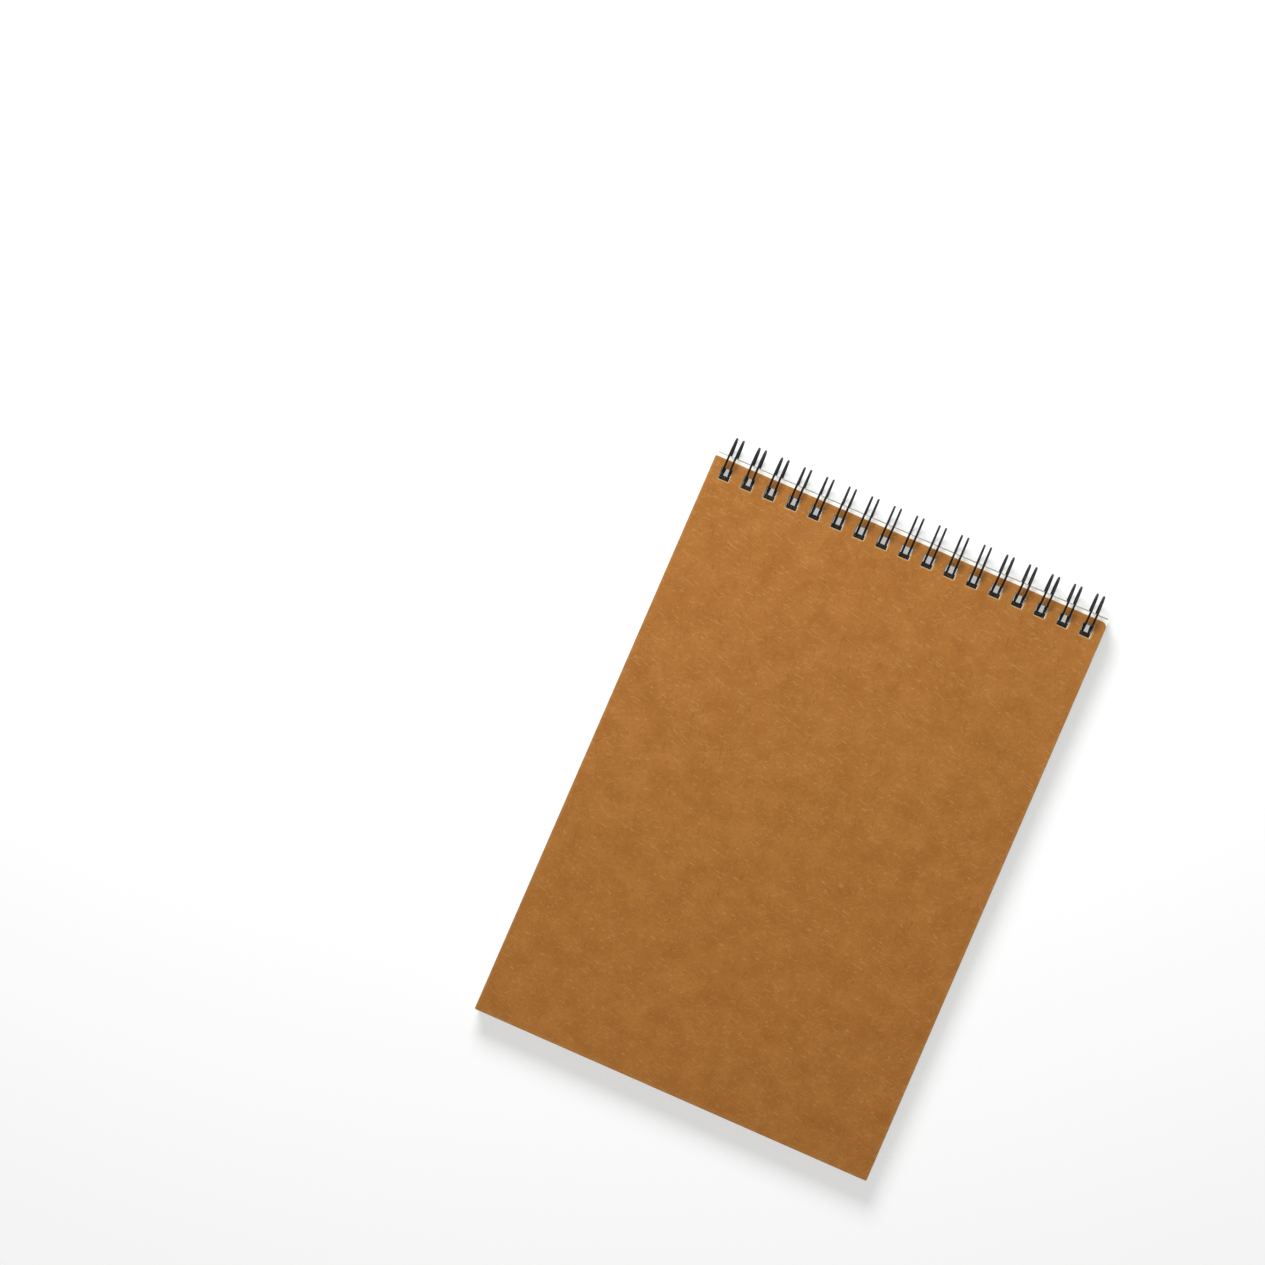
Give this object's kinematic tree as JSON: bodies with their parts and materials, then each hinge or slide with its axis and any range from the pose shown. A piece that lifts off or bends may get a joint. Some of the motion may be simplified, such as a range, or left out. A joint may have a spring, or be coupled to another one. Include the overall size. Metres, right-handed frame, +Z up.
{
  "type": "wire-bound sketchbook",
  "caption": "Portrait sketchbook, top-bound with a black twin-loop wire, with a plain kraft front cover, white drawing sheets and a grey board back.",
  "frame": {"origin": "under the middle of the whole book as it lies on its back cover, on the surface that carries it", "axes": "+X to the right across the cover along the wire, +Y from the foot of the book to the wire, +Z up out of the front cover"},
  "size_m": [0.147, 0.2172, 0.0141],
  "materials": {
    "kraft_board": "uncoated brown kraft board, matt, with fine fibres",
    "grey_board": "uncoated grey board, matt, with recycled flecks",
    "drawing_paper": "uncoated off-white drawing paper",
    "black_wire": "glossy black nylon coating over steel wire"
  },
  "bodies": {
    "base": {"back_cover": "grey_board", "wire": "black_wire"},
    "front_cover": {"front_cover": "kraft_board"},
    "sheet_01": {"sheet_01": "drawing_paper"},
    "sheet_02": {"sheet_02": "drawing_paper"},
    "sheet_03": {"sheet_03": "drawing_paper"},
    "sheet_04": {"sheet_04": "drawing_paper"},
    "sheet_05": {"sheet_05": "drawing_paper"},
    "sheet_06": {"sheet_06": "drawing_paper"},
    "sheet_07": {"sheet_07": "drawing_paper"},
    "sheet_08": {"sheet_08": "drawing_paper"},
    "sheet_09": {"sheet_09": "drawing_paper"},
    "sheet_10": {"sheet_10": "drawing_paper"},
    "sheet_11": {"sheet_11": "drawing_paper"},
    "sheet_12": {"sheet_12": "drawing_paper"},
    "sheet_13": {"sheet_13": "drawing_paper"},
    "sheet_14": {"sheet_14": "drawing_paper"},
    "sheet_15": {"sheet_15": "drawing_paper"},
    "sheet_16": {"sheet_16": "drawing_paper"},
    "sheet_17": {"sheet_17": "drawing_paper"},
    "sheet_18": {"sheet_18": "drawing_paper"},
    "sheet_19": {"sheet_19": "drawing_paper"},
    "sheet_20": {"sheet_20": "drawing_paper"},
    "sheet_21": {"sheet_21": "drawing_paper"},
    "sheet_22": {"sheet_22": "drawing_paper"},
    "sheet_23": {"sheet_23": "drawing_paper"},
    "sheet_24": {"sheet_24": "drawing_paper"},
    "sheet_25": {"sheet_25": "drawing_paper"},
    "sheet_26": {"sheet_26": "drawing_paper"},
    "sheet_27": {"sheet_27": "drawing_paper"},
    "sheet_28": {"sheet_28": "drawing_paper"},
    "sheet_29": {"sheet_29": "drawing_paper"},
    "sheet_30": {"sheet_30": "drawing_paper"},
    "sheet_31": {"sheet_31": "drawing_paper"},
    "sheet_32": {"sheet_32": "drawing_paper"},
    "sheet_33": {"sheet_33": "drawing_paper"},
    "sheet_34": {"sheet_34": "drawing_paper"},
    "sheet_35": {"sheet_35": "drawing_paper"},
    "sheet_36": {"sheet_36": "drawing_paper"},
    "sheet_37": {"sheet_37": "drawing_paper"},
    "sheet_38": {"sheet_38": "drawing_paper"},
    "sheet_39": {"sheet_39": "drawing_paper"},
    "sheet_40": {"sheet_40": "drawing_paper"},
    "sheet_41": {"sheet_41": "drawing_paper"},
    "sheet_42": {"sheet_42": "drawing_paper"},
    "sheet_43": {"sheet_43": "drawing_paper"},
    "sheet_44": {"sheet_44": "drawing_paper"},
    "sheet_45": {"sheet_45": "drawing_paper"},
    "sheet_46": {"sheet_46": "drawing_paper"},
    "sheet_47": {"sheet_47": "drawing_paper"},
    "sheet_48": {"sheet_48": "drawing_paper"},
    "sheet_49": {"sheet_49": "drawing_paper"},
    "sheet_50": {"sheet_50": "drawing_paper"}
  },
  "joints": [
    {"name": "front_cover_hinge", "type": "hinge", "parent": "base", "child": "front_cover", "pos_m": [0, 0.1015, 0.00708], "axis": [-1, 0, 0], "range_deg": [0, 180]},
    {"name": "sheet_01_hinge", "type": "hinge", "parent": "base", "child": "sheet_01", "pos_m": [0, 0.1015, 0.00708], "axis": [-1, 0, 0], "range_deg": [0, 177.3]},
    {"name": "sheet_02_hinge", "type": "hinge", "parent": "base", "child": "sheet_02", "pos_m": [0, 0.1015, 0.00708], "axis": [-1, 0, 0], "range_deg": [0, 177.12]},
    {"name": "sheet_03_hinge", "type": "hinge", "parent": "base", "child": "sheet_03", "pos_m": [0, 0.1015, 0.00708], "axis": [-1, 0, 0], "range_deg": [0, 176.58]},
    {"name": "sheet_04_hinge", "type": "hinge", "parent": "base", "child": "sheet_04", "pos_m": [0, 0.1015, 0.00708], "axis": [-1, 0, 0], "range_deg": [0, 175.69]},
    {"name": "sheet_05_hinge", "type": "hinge", "parent": "base", "child": "sheet_05", "pos_m": [0, 0.1015, 0.00708], "axis": [-1, 0, 0], "range_deg": [0, 174.45]},
    {"name": "sheet_06_hinge", "type": "hinge", "parent": "base", "child": "sheet_06", "pos_m": [0, 0.1015, 0.00708], "axis": [-1, 0, 0], "range_deg": [0, 172.85]},
    {"name": "sheet_07_hinge", "type": "hinge", "parent": "base", "child": "sheet_07", "pos_m": [0, 0.1015, 0.00708], "axis": [-1, 0, 0], "range_deg": [0, 170.92]},
    {"name": "sheet_08_hinge", "type": "hinge", "parent": "base", "child": "sheet_08", "pos_m": [0, 0.1015, 0.00708], "axis": [-1, 0, 0], "range_deg": [0, 168.66]},
    {"name": "sheet_09_hinge", "type": "hinge", "parent": "base", "child": "sheet_09", "pos_m": [0, 0.1015, 0.00708], "axis": [-1, 0, 0], "range_deg": [0, 166.07]},
    {"name": "sheet_10_hinge", "type": "hinge", "parent": "base", "child": "sheet_10", "pos_m": [0, 0.1015, 0.00708], "axis": [-1, 0, 0], "range_deg": [0, 163.16]},
    {"name": "sheet_11_hinge", "type": "hinge", "parent": "base", "child": "sheet_11", "pos_m": [0, 0.1015, 0.00708], "axis": [-1, 0, 0], "range_deg": [0, 159.97]},
    {"name": "sheet_12_hinge", "type": "hinge", "parent": "base", "child": "sheet_12", "pos_m": [0, 0.1015, 0.00708], "axis": [-1, 0, 0], "range_deg": [0, 156.47]},
    {"name": "sheet_13_hinge", "type": "hinge", "parent": "base", "child": "sheet_13", "pos_m": [0, 0.1015, 0.00708], "axis": [-1, 0, 0], "range_deg": [0, 152.71]},
    {"name": "sheet_14_hinge", "type": "hinge", "parent": "base", "child": "sheet_14", "pos_m": [0, 0.1015, 0.00708], "axis": [-1, 0, 0], "range_deg": [0, 148.69]},
    {"name": "sheet_15_hinge", "type": "hinge", "parent": "base", "child": "sheet_15", "pos_m": [0, 0.1015, 0.00708], "axis": [-1, 0, 0], "range_deg": [0, 144.43]},
    {"name": "sheet_16_hinge", "type": "hinge", "parent": "base", "child": "sheet_16", "pos_m": [0, 0.1015, 0.00708], "axis": [-1, 0, 0], "range_deg": [0, 139.95]},
    {"name": "sheet_17_hinge", "type": "hinge", "parent": "base", "child": "sheet_17", "pos_m": [0, 0.1015, 0.00708], "axis": [-1, 0, 0], "range_deg": [0, 135.26]},
    {"name": "sheet_18_hinge", "type": "hinge", "parent": "base", "child": "sheet_18", "pos_m": [0, 0.1015, 0.00708], "axis": [-1, 0, 0], "range_deg": [0, 130.38]},
    {"name": "sheet_19_hinge", "type": "hinge", "parent": "base", "child": "sheet_19", "pos_m": [0, 0.1015, 0.00708], "axis": [-1, 0, 0], "range_deg": [0, 125.34]},
    {"name": "sheet_20_hinge", "type": "hinge", "parent": "base", "child": "sheet_20", "pos_m": [0, 0.1015, 0.00708], "axis": [-1, 0, 0], "range_deg": [0, 120.15]},
    {"name": "sheet_21_hinge", "type": "hinge", "parent": "base", "child": "sheet_21", "pos_m": [0, 0.1015, 0.00708], "axis": [-1, 0, 0], "range_deg": [0, 114.84]},
    {"name": "sheet_22_hinge", "type": "hinge", "parent": "base", "child": "sheet_22", "pos_m": [0, 0.1015, 0.00708], "axis": [-1, 0, 0], "range_deg": [0, 109.43]},
    {"name": "sheet_23_hinge", "type": "hinge", "parent": "base", "child": "sheet_23", "pos_m": [0, 0.1015, 0.00708], "axis": [-1, 0, 0], "range_deg": [0, 103.93]},
    {"name": "sheet_24_hinge", "type": "hinge", "parent": "base", "child": "sheet_24", "pos_m": [0, 0.1015, 0.00708], "axis": [-1, 0, 0], "range_deg": [0, 98.38]},
    {"name": "sheet_25_hinge", "type": "hinge", "parent": "base", "child": "sheet_25", "pos_m": [0, 0.1015, 0.00708], "axis": [-1, 0, 0], "range_deg": [0, 92.8]},
    {"name": "sheet_26_hinge", "type": "hinge", "parent": "base", "child": "sheet_26", "pos_m": [0, 0.1015, 0.00708], "axis": [-1, 0, 0], "range_deg": [0, 87.2]},
    {"name": "sheet_27_hinge", "type": "hinge", "parent": "base", "child": "sheet_27", "pos_m": [0, 0.1015, 0.00708], "axis": [-1, 0, 0], "range_deg": [0, 81.62]},
    {"name": "sheet_28_hinge", "type": "hinge", "parent": "base", "child": "sheet_28", "pos_m": [0, 0.1015, 0.00708], "axis": [-1, 0, 0], "range_deg": [0, 76.07]},
    {"name": "sheet_29_hinge", "type": "hinge", "parent": "base", "child": "sheet_29", "pos_m": [0, 0.1015, 0.00708], "axis": [-1, 0, 0], "range_deg": [0, 70.58]},
    {"name": "sheet_30_hinge", "type": "hinge", "parent": "base", "child": "sheet_30", "pos_m": [0, 0.1015, 0.00708], "axis": [-1, 0, 0], "range_deg": [0, 65.16]},
    {"name": "sheet_31_hinge", "type": "hinge", "parent": "base", "child": "sheet_31", "pos_m": [0, 0.1015, 0.00708], "axis": [-1, 0, 0], "range_deg": [0, 59.85]},
    {"name": "sheet_32_hinge", "type": "hinge", "parent": "base", "child": "sheet_32", "pos_m": [0, 0.1015, 0.00708], "axis": [-1, 0, 0], "range_deg": [0, 54.66]},
    {"name": "sheet_33_hinge", "type": "hinge", "parent": "base", "child": "sheet_33", "pos_m": [0, 0.1015, 0.00708], "axis": [-1, 0, 0], "range_deg": [0, 49.62]},
    {"name": "sheet_34_hinge", "type": "hinge", "parent": "base", "child": "sheet_34", "pos_m": [0, 0.1015, 0.00708], "axis": [-1, 0, 0], "range_deg": [0, 44.74]},
    {"name": "sheet_35_hinge", "type": "hinge", "parent": "base", "child": "sheet_35", "pos_m": [0, 0.1015, 0.00708], "axis": [-1, 0, 0], "range_deg": [0, 40.05]},
    {"name": "sheet_36_hinge", "type": "hinge", "parent": "base", "child": "sheet_36", "pos_m": [0, 0.1015, 0.00708], "axis": [-1, 0, 0], "range_deg": [0, 35.57]},
    {"name": "sheet_37_hinge", "type": "hinge", "parent": "base", "child": "sheet_37", "pos_m": [0, 0.1015, 0.00708], "axis": [-1, 0, 0], "range_deg": [0, 31.31]},
    {"name": "sheet_38_hinge", "type": "hinge", "parent": "base", "child": "sheet_38", "pos_m": [0, 0.1015, 0.00708], "axis": [-1, 0, 0], "range_deg": [0, 27.29]},
    {"name": "sheet_39_hinge", "type": "hinge", "parent": "base", "child": "sheet_39", "pos_m": [0, 0.1015, 0.00708], "axis": [-1, 0, 0], "range_deg": [0, 23.53]},
    {"name": "sheet_40_hinge", "type": "hinge", "parent": "base", "child": "sheet_40", "pos_m": [0, 0.1015, 0.00708], "axis": [-1, 0, 0], "range_deg": [0, 20.04]},
    {"name": "sheet_41_hinge", "type": "hinge", "parent": "base", "child": "sheet_41", "pos_m": [0, 0.1015, 0.00708], "axis": [-1, 0, 0], "range_deg": [0, 16.84]},
    {"name": "sheet_42_hinge", "type": "hinge", "parent": "base", "child": "sheet_42", "pos_m": [0, 0.1015, 0.00708], "axis": [-1, 0, 0], "range_deg": [0, 13.93]},
    {"name": "sheet_43_hinge", "type": "hinge", "parent": "base", "child": "sheet_43", "pos_m": [0, 0.1015, 0.00708], "axis": [-1, 0, 0], "range_deg": [0, 11.35]},
    {"name": "sheet_44_hinge", "type": "hinge", "parent": "base", "child": "sheet_44", "pos_m": [0, 0.1015, 0.00708], "axis": [-1, 0, 0], "range_deg": [0, 9.08]},
    {"name": "sheet_45_hinge", "type": "hinge", "parent": "base", "child": "sheet_45", "pos_m": [0, 0.1015, 0.00708], "axis": [-1, 0, 0], "range_deg": [0, 7.15]},
    {"name": "sheet_46_hinge", "type": "hinge", "parent": "base", "child": "sheet_46", "pos_m": [0, 0.1015, 0.00708], "axis": [-1, 0, 0], "range_deg": [0, 5.55]},
    {"name": "sheet_47_hinge", "type": "hinge", "parent": "base", "child": "sheet_47", "pos_m": [0, 0.1015, 0.00708], "axis": [-1, 0, 0], "range_deg": [0, 4.31]},
    {"name": "sheet_48_hinge", "type": "hinge", "parent": "base", "child": "sheet_48", "pos_m": [0, 0.1015, 0.00708], "axis": [-1, 0, 0], "range_deg": [0, 3.42]},
    {"name": "sheet_49_hinge", "type": "hinge", "parent": "base", "child": "sheet_49", "pos_m": [0, 0.1015, 0.00708], "axis": [-1, 0, 0], "range_deg": [0, 2.88]},
    {"name": "sheet_50_hinge", "type": "hinge", "parent": "base", "child": "sheet_50", "pos_m": [0, 0.1015, 0.00708], "axis": [-1, 0, 0], "range_deg": [0, 2.7]}
  ],
  "couplings": [
    {"joint": "sheet_01_hinge", "follows": "front_cover_hinge", "ratio": 0.985},
    {"joint": "sheet_02_hinge", "follows": "front_cover_hinge", "ratio": 0.984},
    {"joint": "sheet_03_hinge", "follows": "front_cover_hinge", "ratio": 0.98102},
    {"joint": "sheet_04_hinge", "follows": "front_cover_hinge", "ratio": 0.97606},
    {"joint": "sheet_05_hinge", "follows": "front_cover_hinge", "ratio": 0.96914},
    {"joint": "sheet_06_hinge", "follows": "front_cover_hinge", "ratio": 0.96029},
    {"joint": "sheet_07_hinge", "follows": "front_cover_hinge", "ratio": 0.94955},
    {"joint": "sheet_08_hinge", "follows": "front_cover_hinge", "ratio": 0.93697},
    {"joint": "sheet_09_hinge", "follows": "front_cover_hinge", "ratio": 0.92259},
    {"joint": "sheet_10_hinge", "follows": "front_cover_hinge", "ratio": 0.90647},
    {"joint": "sheet_11_hinge", "follows": "front_cover_hinge", "ratio": 0.88869},
    {"joint": "sheet_12_hinge", "follows": "front_cover_hinge", "ratio": 0.8693},
    {"joint": "sheet_13_hinge", "follows": "front_cover_hinge", "ratio": 0.8484},
    {"joint": "sheet_14_hinge", "follows": "front_cover_hinge", "ratio": 0.82607},
    {"joint": "sheet_15_hinge", "follows": "front_cover_hinge", "ratio": 0.80239},
    {"joint": "sheet_16_hinge", "follows": "front_cover_hinge", "ratio": 0.77748},
    {"joint": "sheet_17_hinge", "follows": "front_cover_hinge", "ratio": 0.75142},
    {"joint": "sheet_18_hinge", "follows": "front_cover_hinge", "ratio": 0.72433},
    {"joint": "sheet_19_hinge", "follows": "front_cover_hinge", "ratio": 0.69632},
    {"joint": "sheet_20_hinge", "follows": "front_cover_hinge", "ratio": 0.6675},
    {"joint": "sheet_21_hinge", "follows": "front_cover_hinge", "ratio": 0.638},
    {"joint": "sheet_22_hinge", "follows": "front_cover_hinge", "ratio": 0.60792},
    {"joint": "sheet_23_hinge", "follows": "front_cover_hinge", "ratio": 0.57741},
    {"joint": "sheet_24_hinge", "follows": "front_cover_hinge", "ratio": 0.54657},
    {"joint": "sheet_25_hinge", "follows": "front_cover_hinge", "ratio": 0.51555},
    {"joint": "sheet_26_hinge", "follows": "front_cover_hinge", "ratio": 0.48445},
    {"joint": "sheet_27_hinge", "follows": "front_cover_hinge", "ratio": 0.45343},
    {"joint": "sheet_28_hinge", "follows": "front_cover_hinge", "ratio": 0.42259},
    {"joint": "sheet_29_hinge", "follows": "front_cover_hinge", "ratio": 0.39208},
    {"joint": "sheet_30_hinge", "follows": "front_cover_hinge", "ratio": 0.362},
    {"joint": "sheet_31_hinge", "follows": "front_cover_hinge", "ratio": 0.3325},
    {"joint": "sheet_32_hinge", "follows": "front_cover_hinge", "ratio": 0.30368},
    {"joint": "sheet_33_hinge", "follows": "front_cover_hinge", "ratio": 0.27567},
    {"joint": "sheet_34_hinge", "follows": "front_cover_hinge", "ratio": 0.24858},
    {"joint": "sheet_35_hinge", "follows": "front_cover_hinge", "ratio": 0.22252},
    {"joint": "sheet_36_hinge", "follows": "front_cover_hinge", "ratio": 0.19761},
    {"joint": "sheet_37_hinge", "follows": "front_cover_hinge", "ratio": 0.17393},
    {"joint": "sheet_38_hinge", "follows": "front_cover_hinge", "ratio": 0.1516},
    {"joint": "sheet_39_hinge", "follows": "front_cover_hinge", "ratio": 0.1307},
    {"joint": "sheet_40_hinge", "follows": "front_cover_hinge", "ratio": 0.11131},
    {"joint": "sheet_41_hinge", "follows": "front_cover_hinge", "ratio": 0.09353},
    {"joint": "sheet_42_hinge", "follows": "front_cover_hinge", "ratio": 0.07741},
    {"joint": "sheet_43_hinge", "follows": "front_cover_hinge", "ratio": 0.06303},
    {"joint": "sheet_44_hinge", "follows": "front_cover_hinge", "ratio": 0.05045},
    {"joint": "sheet_45_hinge", "follows": "front_cover_hinge", "ratio": 0.03971},
    {"joint": "sheet_46_hinge", "follows": "front_cover_hinge", "ratio": 0.03086},
    {"joint": "sheet_47_hinge", "follows": "front_cover_hinge", "ratio": 0.02394},
    {"joint": "sheet_48_hinge", "follows": "front_cover_hinge", "ratio": 0.01898},
    {"joint": "sheet_49_hinge", "follows": "front_cover_hinge", "ratio": 0.016},
    {"joint": "sheet_50_hinge", "follows": "front_cover_hinge", "ratio": 0.015}
  ]
}
